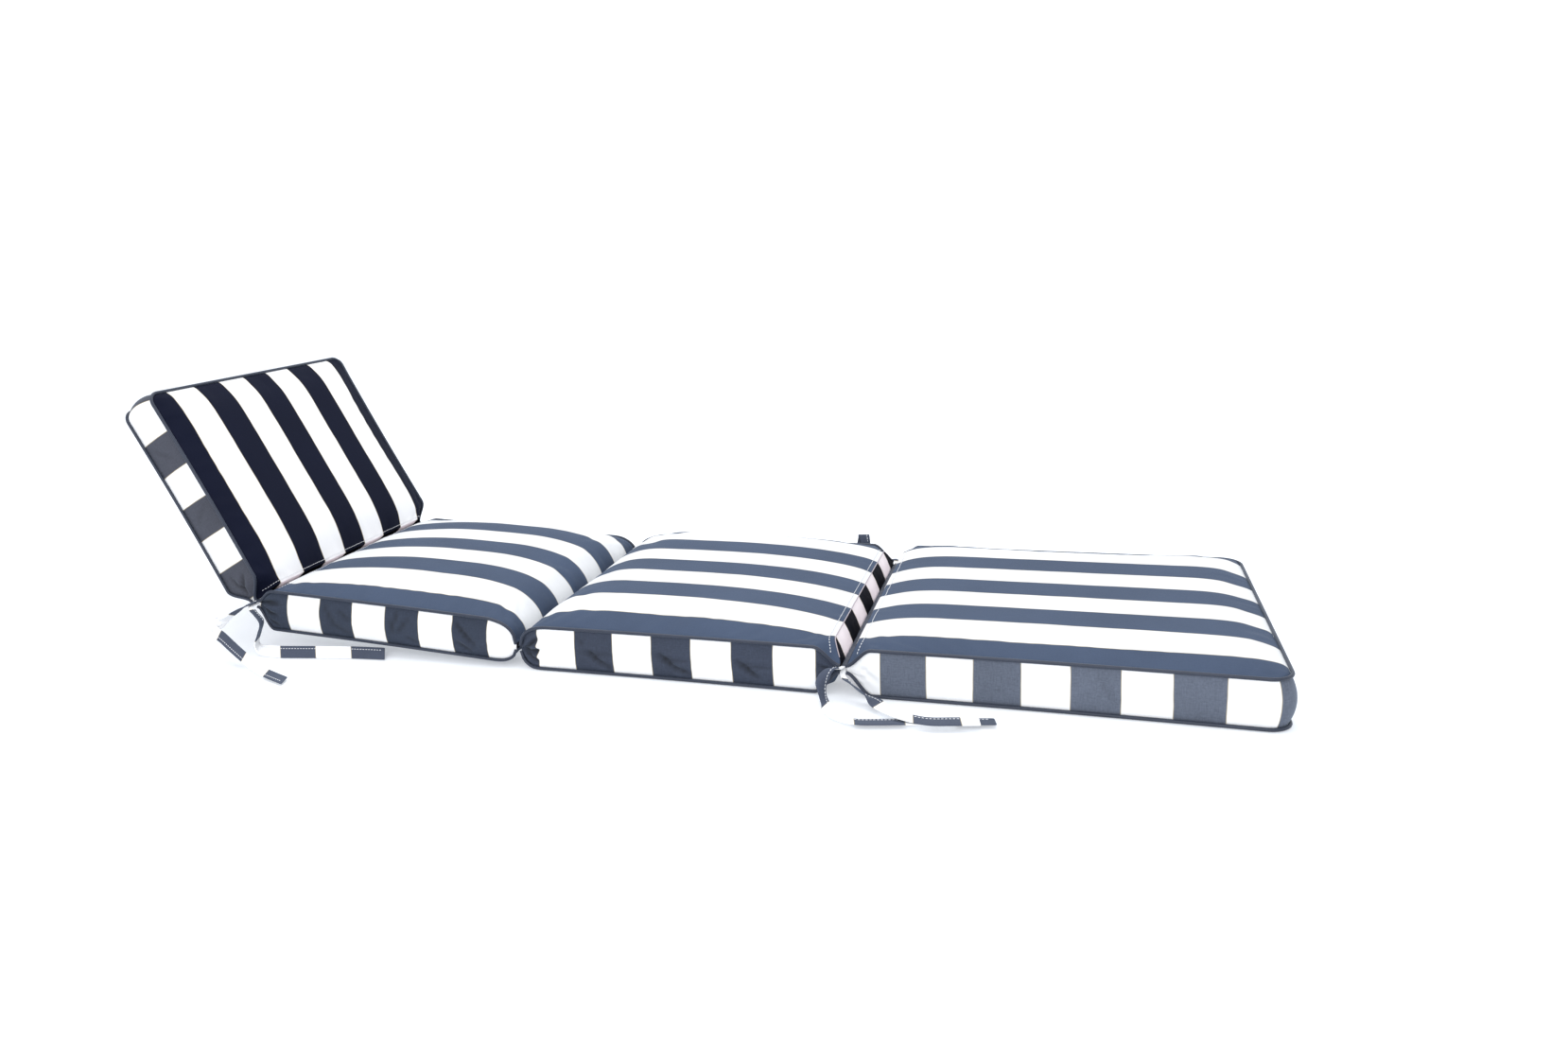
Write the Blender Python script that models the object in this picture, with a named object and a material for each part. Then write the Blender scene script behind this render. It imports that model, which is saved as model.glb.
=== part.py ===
"""Sun lounger cushion: four filled pads sewn in a row, set down with the back pad tilted up.

Metres, +Z up. The row runs along X, from the head end (-X) to the foot end (+X), and Y is across it. The
origin is the middle of the leg pad's underside, which lies flat on the ground.
"""
import math
from collections import namedtuple

import bmesh
import bpy
from mathutils import Matrix, Vector

# Driving dimensions of the cover
STRIPE = 0.062         # width of one stripe of the cloth
WIDTH = 0.5104         # across the row, from boxing to boxing
THICK = 0.070          # from the base to the upper seam
RIM = 0.0035           # height of the lower seam above the base
TAPE_HALF = 0.0045     # half the width of the strip that joins two pads
LIP_HALF = 0.0030      # half the thickness of a pad where it meets that strip
SEAM_HALF = 0.0050     # half the distance of the two seams where they meet at a corner

# How a pad's cover runs from its seams into the filling
SHOULDER = 0.075       # the crown rises over this distance from a side
BASE_SHOULDER = 0.030  # the same on a base that lies on the ground
CHANNEL_REACH = 0.048  # the seams dip to a sewn channel over this distance
CORNER_ALONG = 0.046   # the seams dip to a hinge's corner over this distance along the side
CORNER_ACROSS = 0.034  # and over this distance across the row
FREE_RADIUS = 0.028    # corner radius of a free end, seen from above
PINCH = 0.006          # how far the sides come in at a hinge
WAIST = 0.003          # how far the sides come in halfway along
BULGE = 0.0025         # how far the boxing stands out between its seams
LEVELS = 3             # bands of boxing between the two seams

PIPE_RADIUS = 0.0025
PIPE_GAP = 0.0009      # clearance between a pad's seam and its piping
PIPE_START = 0.007     # the piping stops this far from a hinge
STRIP_HALF_LENGTH = WIDTH / 2 - PINCH - 0.003   # the strips in the hinges stop short of the corners
STRIP_THICK = 0.003
TIE_THICK = 0.0020
TIE_STEPS = 18
TOUCH_GAP = 0.0003

# Where the pads meet
SEAM_LOW = (-0.2538, 0.0325)     # x and z of the sewn channel between seat and leg
SEAM_FOOT = (0.2538, 0.0380)     # x and z of the hinge between leg and foot
SEAT_TILT = math.radians(3.0)    # the seat's back end is raised a little
BACK_TILT = math.radians(61.0)   # the back pad stands up from the row

# An end of a pad: how it finishes, the height of its lip above the base, how far the upper and the lower
# seam stand back from the lip, and the distance over which the crown rises from it
End = namedtuple("End", "kind lip upper_back lower_back reach")
FREE_END = End("free", 0, 0, 0, 0.085)

# A pad: its length, both ends, its crown, how far its base sags, the first change of colour along its
# boxing and whether the boxing starts navy
Pad = namedtuple("Pad", "length head foot crown sag first_mark starts_navy")
PADS = {
    "back_pad": Pad(0.3832, FREE_END, End("gusset", 0.037, 0.009, 0.017, 0.100), 0.017, 0.006, 0.0655, False),
    "seat_pad": Pad(0.4845, End("gusset", 0.0425, 0.033, 0.022, 0.150),
                    End("channel", 0.0265, 0, 0, 0.150), 0.025, 0.008, 0.0672, True),
    "leg_pad": Pad(0.4986, End("channel", 0.0325, 0, 0, 0.130),
                   End("gusset", 0.038, 0.0125, 0.015, 0.120), 0.022, 0, 0.0313, True),
    "foot_pad": Pad(0.5556, End("gusset", 0.038, 0.0125, 0.017, 0.085), FREE_END, 0.017, 0, 0.0484, False),
}

# Distances from a side and from an end at which the cover has a row of points
SIDE_STEPS = (0.0, 0.010, 0.021)
END_STEPS = {
    "free": (0.0, 0.010, 0.021, 0.040),
    "gusset": (0.0, 0.012, 0.028, 0.052, 0.080),
    "channel": (0.0, 0.006, 0.017, 0.034, 0.058, 0.090),
}
SAME_STEP = 0.007      # a row closer than this to a change of colour is left out

COLOURS = {"navy_cloth": (0.030, 0.040, 0.075), "white_cloth": (0.82, 0.83, 0.85)}

# Ties: rows of x, y and z of the strip's middle, the direction across it, and its width, in millimetres.
# Each starts at the end of its hinge strip, two to an end, one above the other.
TIE_ROOT_WIDTH = 6
TIE_ROOT_LIFT = 0.0016   # how far a root lies above or below the middle of the hinge strip
TIES = {
    "tie_back_near_1": [
        (-747, -264, 77, 1.0, -0.1, 0.1, 8), (-764, -274, 68, 0.2, -0.9, 0.2, 16),
        (-787, -281, 54, 0.0, -0.9, 0.4, 22), (-797, -294, 46, 0.6, -0.6, 0.4, 24),
        (-783, -310, 43, 0.9, 0.1, 0.3, 24), (-757, -322, 38, 0.4, 0.8, 0.4, 24),
        (-728, -332, 26, 0.3, 0.85, 0.4, 24), (-700, -341, 15, 0.3, 0.9, 0.35, 24),
        (-672, -353, 9, 0.35, 0.9, 0.3, 24), (-643, -366, 6, 0.35, 0.9, 0.25, 24),
        (-590, -385, 4.5, 0.3, 0.95, 0.2, 24)],
    "tie_back_near_2": [
        (-746, -264, 72.5, 1.0, 0.1, 0.0, 8), (-728, -275, 66, 0.7, 0.7, 0.0, 12),
        (-714, -281, 54, 0.4, 0.9, 0.0, 20), (-716, -285, 36, 0.35, 0.93, 0.0, 24),
        (-722, -287, 17, 0.3, 0.9, 0.2, 24), (-714, -289, 7, 0.1, 0.95, 0.3, 24),
        (-694, -290, 5.5, 0.05, 0.97, 0.22, 24), (-672, -290, 5.5, -0.05, 0.97, 0.22, 24),
        (-622, -281, 5.5, -0.2, 0.96, 0.22, 24), (-552, -269, 5.5, -0.15, 0.96, 0.22, 24),
        (-491, -263, 5.5, -0.1, 0.97, 0.22, 24)],
    "tie_foot_near_1": [
        (253, -264, 42, 1.0, 0.0, 0.0, 8), (244, -275, 42, 0.9, -0.4, 0.0, 18),
        (236, -281, 33, 0.8, -0.5, 0.0, 24), (233, -286, 20, 0.75, -0.6, 0.0, 24),
        (236, -296, 8, 0.8, -0.1, 0.0, 24), (246, -312, 5, 0.8, 0.5, 0.1, 24),
        (264, -332, 5, 0.55, 0.8, 0.2, 24), (289, -346, 5.5, 0.1, 0.97, 0.22, 24),
        (317, -345, 5.5, -0.1, 0.97, 0.22, 24), (346, -336, 5.5, -0.2, 0.95, 0.22, 24),
        (404, -321, 5.5, -0.1, 0.97, 0.22, 24), (463, -314, 5.5, -0.1, 0.97, 0.22, 24)],
    "tie_foot_near_2": [
        (254.5, -264, 34.5, 1.0, 0.1, -0.1, 8), (267, -275, 28, 0.75, 0.6, 0.1, 16),
        (281, -281, 20, 0.6, 0.75, 0.25, 24), (295, -287, 14, 0.6, 0.75, 0.25, 24),
        (308, -295, 9.5, 0.55, 0.8, 0.22, 24), (324, -305, 10.5, 0.3, 0.95, 0.2, 24),
        (345, -314, 13.8, 0.1, 0.97, 0.2, 24), (372, -321, 13.8, 0.1, 0.97, 0.2, 24),
        (400, -328, 12, 0.1, 0.97, 0.2, 24), (438, -338, 9, 0.15, 0.97, 0.2, 24)],
    "tie_back_far_1": [
        (-747, 264, 76, 1.0, 0.1, 0.0, 8), (-755, 276, 58, 0.95, 0.2, 0.0, 18),
        (-760, 284, 32, 0.95, 0.2, 0.0, 24), (-758, 294, 9, 0.95, 0.2, 0.0, 24),
        (-748, 315, 4, 0.9, -0.4, 0.1, 24), (-728, 347, 4, 0.85, -0.5, 0.1, 24),
        (-700, 385, 4, 0.85, -0.5, 0.1, 24)],
    "tie_back_far_2": [
        (-745, 264, 71, 1.0, -0.1, 0.0, 8), (-727, 278, 52, 0.9, -0.4, 0.0, 16),
        (-716, 286, 28, 0.85, -0.5, 0.0, 24), (-704, 295, 8, 0.8, -0.6, 0.0, 24),
        (-684, 309, 4, 0.5, -0.85, 0.1, 24), (-640, 326, 4, 0.3, -0.95, 0.1, 24),
        (-575, 340, 4, 0.15, -0.98, 0.1, 24)],
    "tie_foot_far_1": [
        (252, 264, 45, 0.95, 0.2, 0.0, 8), (232, 274, 66, 0.2, 0.95, 0.0, 14),
        (211, 276, 86, 0.2, 0.95, 0.1, 20), (194, 278, 96, 0.05, 0.98, 0.1, 20),
        (180, 281, 88, -0.3, 0.95, 0.0, 20), (173, 286, 58, -0.6, 0.8, 0.0, 24),
        (171, 291, 28, -0.7, 0.7, 0.0, 24), (168, 302, 8, -0.9, 0.3, 0.0, 24),
        (160, 327, 4, -0.95, -0.2, 0.1, 24), (148, 365, 4, -0.95, -0.3, 0.1, 24)],
    "tie_foot_far_2": [
        (256, 264, 34, 1.0, -0.1, 0.0, 8), (271, 277, 22, 0.8, -0.6, 0.0, 16),
        (286, 287, 9, 0.7, -0.7, 0.0, 24), (308, 301, 4.5, 0.5, -0.85, 0.1, 24),
        (345, 315, 4, 0.25, -0.95, 0.1, 24), (395, 325, 4, 0.1, -0.98, 0.1, 24),
        (440, 330, 4, 0.1, -0.98, 0.1, 24)],
}


def clear_scene():
    for obj in list(bpy.data.objects):
        bpy.data.objects.remove(obj)


def cloth_material(name):
    material = bpy.data.materials.new(name)
    material.use_nodes = True
    shader = material.node_tree.nodes["Principled BSDF"]
    shader.inputs["Base Color"].default_value = (*COLOURS[name], 1.0)
    shader.inputs["Roughness"].default_value = 0.85
    shader.inputs["Metallic"].default_value = 0.0
    return material


def add_object(name, data, materials, matrix=Matrix.Identity(4)):
    obj = bpy.data.objects.new(name, data)
    for material in materials:
        data.materials.append(material)
    obj.matrix_world = matrix
    bpy.context.scene.collection.objects.link(obj)
    return obj


def rise(distance, reach, power=2.3):
    """A filled cover's shoulder: 0 at its edge, round, and 1 from `reach` inwards."""
    left = 1.0 - min(max(distance / reach, 0.0), 1.0)
    return (1.0 - left ** power) ** (1.0 / power)


def ease(share):
    share = min(max(share, 0.0), 1.0)
    return share * share * (3.0 - 2.0 * share)


def dip(end, side, along):
    """How far the seams have come together at a hinge: 1 at the lip and 0 on the plain pad."""
    if end.kind == "channel":
        return 1.0 - rise(along, CHANNEL_REACH, 2.0)
    if end.kind == "gusset":
        return 1.0 - ease(math.hypot(side / CORNER_ACROSS, along / CORNER_ALONG))
    return 0.0


def seam_heights(pad, side, u):
    """Heights of the lower and the upper seam, or of the panel that runs on from it at the same level."""
    low, high = RIM, THICK
    for end, along in ((pad.head, u), (pad.foot, pad.length - u)):
        share = dip(end, side, along)
        low += (end.lip - SEAM_HALF - RIM) * share
        high += (end.lip + SEAM_HALF - THICK) * share
    return low, high


def panel_height(pad, side, u, top):
    """Height of the top or the bottom panel `side` in from the boxing and u along the pad."""
    low, high = seam_heights(pad, side, u)
    ends = rise(u, pad.head.reach) * rise(pad.length - u, pad.foot.reach)
    if top:
        return high + pad.crown * rise(side, SHOULDER) * ends
    if pad.sag:
        return low - (RIM + pad.sag) * rise(side, SHOULDER) * ends
    flat = rise(side, BASE_SHOULDER) * rise(u, BASE_SHOULDER) * rise(pad.length - u, BASE_SHOULDER)
    return low - RIM * flat


def boxing_height(pad, side, u, level):
    """Height of a row of points in the boxing, which closes to a thin lip at a hinge."""
    low, high = seam_heights(pad, side, u)
    height = low + (high - low) * level / LEVELS
    for end, along in ((pad.head, u), (pad.foot, pad.length - u)):
        if end.kind != "free":
            lip = end.lip + LIP_HALF * (2.0 * level / LEVELS - 1.0) * LEVELS
            height += (lip - height) * (1.0 - ease(along / PIPE_START))
    return height


def set_back(pad, side, u, level):
    """How far a point moves along the pad, so that both seams stand back from a hinge's lip."""
    shift = 0.0
    for end, along, sign in ((pad.head, u, 1.0), (pad.foot, pad.length - u, -1.0)):
        depth = {0: end.lower_back, LEVELS: end.upper_back}.get(level, 0.0)
        fade = 1.0 - min(along / (2.5 * depth), 1.0) if depth else 0.0
        shift += sign * depth * fade * ease(side / CORNER_ACROSS)
    return shift


def round_corner(pad, u, v):
    """Moves a point near a free end's square corner onto a round one. Returns it and the way out from it."""
    half = WIDTH / 2
    for end, sign, edge in ((pad.head, -1.0, 0.0), (pad.foot, 1.0, pad.length)):
        along = (u - (edge - sign * FREE_RADIUS)) * sign / FREE_RADIUS
        across = (abs(v) - (half - FREE_RADIUS)) / FREE_RADIUS
        if end.kind == "free" and along > 0 and across > 0:
            x = along * math.sqrt(1.0 - across * across / 2.0)
            y = across * math.sqrt(1.0 - along * along / 2.0)
            out = Vector((sign * x, math.copysign(y, v), 0.0)).normalized()
            u = edge - sign * FREE_RADIUS + sign * x * FREE_RADIUS
            v = math.copysign(half - FREE_RADIUS + y * FREE_RADIUS, v)
            return u, v, out
    if half - abs(v) < min(u, pad.length - u):
        return u, v, Vector((0.0, math.copysign(1.0, v), 0.0))
    return u, v, Vector((math.copysign(1.0, u - pad.length / 2), 0.0, 0.0))


def cover_point(pad, u, v, level):
    """A point of a pad's cover: level 0 is the bottom panel, LEVELS the top one, the rest the boxing."""
    side = WIDTH / 2 - abs(v)
    in_boxing = 0 < level < LEVELS
    if in_boxing:
        height = boxing_height(pad, side, u, level)
    else:
        height = panel_height(pad, side, u, level == LEVELS)
    along, across, out = round_corner(pad, u, v)
    narrow = WAIST * math.sin(math.pi * u / pad.length)
    swell = BULGE
    for end, distance in ((pad.head, u), (pad.foot, pad.length - u)):
        if end.kind != "free":
            narrow += PINCH * (1.0 - ease(distance / CORNER_ALONG))
            swell *= ease(distance / CORNER_ALONG)
    across *= 1.0 - narrow / (WIDTH / 2)
    point = Vector((along + set_back(pad, side, u, level), across, height))
    if in_boxing:
        point += out * swell
    return point


def rows_along(pad):
    """Distances along a pad at which its cover has a row of points: both ends and each change of colour."""
    count = math.ceil((pad.length - pad.first_mark) / STRIPE)
    changes = [pad.first_mark + index * STRIPE for index in range(count)]
    fixed = [0.0] + [mark for mark in changes if mark < pad.length - SAME_STEP] + [pad.length]
    steps = list(END_STEPS[pad.head.kind]) + [pad.length - step for step in END_STEPS[pad.foot.kind]]
    between = [step for step in steps if all(abs(step - mark) >= SAME_STEP for mark in fixed)]
    return sorted(fixed + between)


def rows_across():
    half = WIDTH / 2
    near = [-(half - step) for step in SIDE_STEPS]
    changes = [(index + 0.5) * STRIPE for index in range(4)]
    inner = [-change for change in reversed(changes)]
    left = near + inner
    return left + [-value for value in reversed(left)]


def is_navy(pad, u, v, level):
    """Panels are striped along the row, boxing strips across it."""
    on_side = WIDTH / 2 - abs(v) < 1e-6
    if 0 < level < LEVELS and on_side:
        block = math.floor((u - pad.first_mark) / STRIPE) + 1
        return (block % 2 == 0) == pad.starts_navy
    return round(abs(v) / STRIPE) % 2 == 0


def grid_body(columns, rows, levels):
    """A closed box of unit squares: a bottom grid raised level by level, so that only its rim has walls."""
    bm = bmesh.new()
    first = bm.verts.new((0, 0, 0))
    line = [first]
    for column in range(1, columns):
        line.append(bm.verts.new((column, 0, 0)))
    edges = [bm.edges.new(pair) for pair in zip(line, line[1:])]
    for _ in range(1, rows):
        grown = bmesh.ops.extrude_edge_only(bm, edges=edges)["geom"]
        edges = [item for item in grown if isinstance(item, bmesh.types.BMEdge)
                 and all(vert in grown for vert in item.verts)]
        new_verts = [item for item in grown if isinstance(item, bmesh.types.BMVert)]
        bmesh.ops.translate(bm, verts=new_verts, vec=(0, 1, 0))
        edges = [edge for edge in edges if all(vert in new_verts for vert in edge.verts)]
    faces = bm.faces[:]
    for level in range(levels):
        inner = [] if level == 0 else faces
        grown = bmesh.ops.extrude_face_region(bm, geom=faces, use_keep_orig=True)["geom"]
        faces = [item for item in grown if isinstance(item, bmesh.types.BMFace)]
        new_verts = [item for item in grown if isinstance(item, bmesh.types.BMVert)]
        bmesh.ops.translate(bm, verts=new_verts, vec=(0, 0, 1))
        bmesh.ops.delete(bm, geom=inner, context="FACES")
    bmesh.ops.recalc_face_normals(bm, faces=bm.faces[:])
    return bm


def make_pad(name, pad, matrix, materials):
    along, across = rows_along(pad), rows_across()
    bm = grid_body(len(along), len(across), LEVELS)
    for face in bm.faces:
        middle = face.calc_center_median()
        column, row = int(middle.x), int(middle.y)
        u = (along[column] + along[min(column + 1, len(along) - 1)]) / 2
        v = (across[row] + across[min(row + 1, len(across) - 1)]) / 2
        if middle.y in (0.0, len(across) - 1.0):
            v = math.copysign(WIDTH / 2, middle.y - 0.5)
        face.material_index = 0 if is_navy(pad, u, v, middle.z) else 1
    for vert in bm.verts:
        column, row, level = (round(value) for value in vert.co)
        vert.co = cover_point(pad, along[column], across[row], level)
    mesh = bpy.data.meshes.new(name)
    bm.to_mesh(mesh)
    bm.free()
    mesh.shade_smooth()
    return add_object(name, mesh, materials, matrix)


def pipe_route(pad, level, sign):
    """Points of the piping along one seam: a side of a pad between two hinges, or round its free end."""
    along = rows_along(pad)
    half = WIDTH / 2
    heads_free, feet_free = pad.head.kind == "free", pad.foot.kind == "free"
    start = along[0] if heads_free else PIPE_START
    stop = along[-1] if feet_free else pad.length - PIPE_START
    inside = [u for u in along if start < u < stop]
    side = [start] + inside + [stop]
    if not (heads_free or feet_free):
        stations = [(u, sign * half) for u in side]
    else:
        end = along[0] if heads_free else along[-1]
        if heads_free:
            side.reverse()
        stations = [(u, -half) for u in side]
        stations += [(end, v) for v in rows_across()[1:-1]]
        stations += [(u, half) for u in reversed(side)]
    points = []
    for u, v in stations:
        _, _, out = round_corner(pad, u, v)
        lift = 0.0005 if level else 0.0
        points.append(cover_point(pad, u, v, level) + out * (PIPE_RADIUS + PIPE_GAP) + Vector((0, 0, lift)))
    return points


def make_piping(name, points, matrix, material):
    curve = bpy.data.curves.new(name, "CURVE")
    curve.dimensions = "3D"
    curve.bevel_depth = PIPE_RADIUS
    curve.bevel_resolution = 1
    curve.use_fill_caps = True
    spline = curve.splines.new("POLY")
    spline.points.add(len(points) - 1)
    for target, point in zip(spline.points, points):
        target.co = (*point, 1.0)
    return add_object(name, curve, [material], matrix)


def make_hinge_strip(name, seam, tilts, material):
    """The strip between two lips, bent along the seam where the pads meet at an angle."""
    reach = TAPE_HALF - TOUCH_GAP
    head, foot = (Vector((math.cos(tilt), 0, -math.sin(tilt))) for tilt in tilts)
    middle = Vector((seam[0], -STRIP_HALF_LENGTH, seam[1]))
    bm = bmesh.new()
    line = [bm.verts.new(middle - head * reach), bm.verts.new(middle), bm.verts.new(middle + foot * reach)]
    edges = [bm.edges.new(pair) for pair in zip(line, line[1:])]
    grown = bmesh.ops.extrude_edge_only(bm, edges=edges)["geom"]
    new_verts = [item for item in grown if isinstance(item, bmesh.types.BMVert)]
    bmesh.ops.translate(bm, verts=new_verts, vec=(0, 2 * STRIP_HALF_LENGTH, 0))
    mesh = bpy.data.meshes.new(name)
    bm.to_mesh(mesh)
    bm.free()
    obj = add_object(name, mesh, [material])
    solidify = obj.modifiers.new("cloth", "SOLIDIFY")
    solidify.thickness = STRIP_THICK
    solidify.offset = 0.0
    return obj


def smooth_rows(rows, steps):
    """Rows read off a smooth curve through the given ones."""
    last = len(rows) - 1
    result = []
    for step in range(steps + 1):
        place = step / steps * last
        index = min(int(place), last - 1)
        t = place - index
        near = [rows[min(max(index + offset, 0), last)] for offset in (-1, 0, 1, 2)]
        result.append([0.5 * (2 * b + (c - a) * t + (2 * a - 5 * b + 4 * c - d) * t * t
                              + (3 * b - a - 3 * c + d) * t ** 3) for a, b, c, d in zip(*near)])
    return result


def make_tie(name, seam, material):
    """A flat doubled strip of cloth on a smooth line, narrow where it is sewn to the end of a hinge strip."""
    near, upper = "near" in name, name.endswith("1")
    root_y = (STRIP_HALF_LENGTH + 2 * TOUCH_GAP) * (-1 if near else 1)
    root_z = seam[1] + TIE_ROOT_LIFT * (1 if upper else -1)
    root = (seam[0] * 1000, root_y * 1000, root_z * 1000, 1.0, 0.0, 0.0, TIE_ROOT_WIDTH)
    bm = bmesh.new()
    edge = None
    for x, y, z, across_x, across_y, across_z, width in smooth_rows([root, *TIES[name]], TIE_STEPS):
        middle = Vector((x, y, z)) / 1000
        reach = Vector((across_x, across_y, across_z)).normalized() * width / 2000
        if edge is None:
            edge = bm.edges.new((bm.verts.new(middle - reach), bm.verts.new(middle + reach)))
            continue
        before = edge.verts[:]
        grown = bmesh.ops.extrude_edge_only(bm, edges=[edge])["geom"]
        edge = next(item for item in grown if isinstance(item, bmesh.types.BMEdge)
                    and not any(vert in before for vert in item.verts))
        edge.verts[0].co = middle - reach
        edge.verts[1].co = middle + reach
    bmesh.ops.recalc_face_normals(bm, faces=bm.faces[:])
    mesh = bpy.data.meshes.new(name)
    bm.to_mesh(mesh)
    bm.free()
    obj = add_object(name, mesh, [material])
    solidify = obj.modifiers.new("cloth", "SOLIDIFY")
    solidify.thickness = TIE_THICK
    solidify.offset = 0.0
    return obj


def placed(seam, tilt, u, height):
    """The matrix that tilts a pad and brings its point at (u, height) to a seam."""
    turn = Matrix.Rotation(tilt, 4, "Y")
    target = Vector((seam[0], 0.0, seam[1]))
    return Matrix.Translation(target - turn @ Vector((u, 0.0, height))) @ turn


def build():
    clear_scene()
    navy, white = cloth_material("navy_cloth"), cloth_material("white_cloth")
    back, seat, leg, foot = (PADS[name] for name in ("back_pad", "seat_pad", "leg_pad", "foot_pad"))
    matrices = {
        "foot_pad": placed(SEAM_FOOT, 0.0, -TAPE_HALF, foot.head.lip),
        "leg_pad": placed(SEAM_LOW, 0.0, -TAPE_HALF, leg.head.lip),
        "seat_pad": placed(SEAM_LOW, SEAT_TILT, seat.length + TAPE_HALF, seat.foot.lip),
    }
    top_seam = matrices["seat_pad"] @ Vector((-TAPE_HALF, 0.0, seat.head.lip))
    seam_back = (top_seam.x, top_seam.z)
    matrices["back_pad"] = placed(seam_back, BACK_TILT, back.length + TAPE_HALF, back.foot.lip)

    for name, pad in PADS.items():
        make_pad(name, pad, matrices[name], [navy, white])
        kind = name.split("_")[0]
        for level, place in ((LEVELS, "upper"), (0, "lower")):
            if "free" in (pad.head.kind, pad.foot.kind):
                make_piping(f"piping_{kind}_{place}", pipe_route(pad, level, 1.0), matrices[name], navy)
                continue
            for sign, side in ((-1.0, "near"), (1.0, "far")):
                route = pipe_route(pad, level, sign)
                make_piping(f"piping_{kind}_{place}_{side}", route, matrices[name], navy)

    make_hinge_strip("hinge_tape_back", seam_back, (BACK_TILT, SEAT_TILT), navy)
    make_hinge_strip("channel_strip", SEAM_LOW, (SEAT_TILT, 0.0), navy)
    make_hinge_strip("hinge_tape_foot", SEAM_FOOT, (0.0, 0.0), navy)
    for name in TIES:
        make_tie(name, seam_back if name.startswith("tie_back") else SEAM_FOOT, navy)


build()
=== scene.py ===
"""The looks of a striped sun lounger cushion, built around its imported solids.

Metres, +Z up. The cushion lies along X, from its raised back pad (-X) to its foot end (+X).
"""
import math
from collections import namedtuple

import bmesh
import bpy
import numpy as np
from mathutils import Matrix, Vector


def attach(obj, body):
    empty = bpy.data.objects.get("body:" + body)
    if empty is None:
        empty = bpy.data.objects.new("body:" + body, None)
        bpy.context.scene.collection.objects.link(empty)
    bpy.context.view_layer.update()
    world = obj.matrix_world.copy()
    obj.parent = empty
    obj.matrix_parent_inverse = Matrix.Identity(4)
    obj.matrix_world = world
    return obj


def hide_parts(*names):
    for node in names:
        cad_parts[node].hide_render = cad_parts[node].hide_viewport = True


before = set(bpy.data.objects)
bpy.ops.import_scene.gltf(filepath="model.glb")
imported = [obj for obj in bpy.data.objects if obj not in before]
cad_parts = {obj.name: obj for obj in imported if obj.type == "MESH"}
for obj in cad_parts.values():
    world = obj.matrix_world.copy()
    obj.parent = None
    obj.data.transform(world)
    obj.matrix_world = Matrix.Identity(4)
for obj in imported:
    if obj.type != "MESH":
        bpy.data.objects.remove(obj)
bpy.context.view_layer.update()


# The camera. It stands beyond the near side of the seat and foot pads, a little above the raised back pad,
# and looks slightly down and to the left. Lens and shift follow the photograph's framing.
PICTURE = (1658, 1110)
FOCAL_PIXELS = 1168.22
MIDDLE_PIXEL = (730.74, 474.16)
YAW, PITCH, ROLL = 0.3375, 0.1904, -0.0542
CAMERA_PLACE = (0.5519, -1.6911, 0.6441)

right = Vector((math.cos(YAW), math.sin(YAW), 0.0))
ahead = Vector((-math.sin(YAW) * math.cos(PITCH), math.cos(YAW) * math.cos(PITCH), -math.sin(PITCH)))
above = right.cross(ahead)
rolled_right = math.cos(ROLL) * right + math.sin(ROLL) * above
rolled_up = math.cos(ROLL) * above - math.sin(ROLL) * right
camera_data = bpy.data.cameras.new("camera")
camera_data.sensor_width = 36.0
camera_data.lens = 36.0 * FOCAL_PIXELS / PICTURE[0]
camera_data.shift_x = (PICTURE[0] / 2 - MIDDLE_PIXEL[0]) / PICTURE[0]
camera_data.shift_y = (MIDDLE_PIXEL[1] - PICTURE[1] / 2) / PICTURE[0]
camera = bpy.data.objects.new("camera", camera_data)
turn = Matrix((rolled_right, rolled_up, -ahead)).transposed().to_4x4()
camera.matrix_world = Matrix.Translation(CAMERA_PLACE) @ turn
bpy.context.scene.collection.objects.link(camera)
bpy.context.scene.camera = camera


# The cover's canvas: a plain-weave acrylic, yarn-dyed in equal navy and white stripes with a thin tan yarn
# where they meet. Its UV map runs in metres, x along the stripes and y across them.
STRIPE = 0.062
YARN = 0.0009
WHITE = (0.79, 0.795, 0.805)
TAN = (0.36, 0.30, 0.19)


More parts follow.
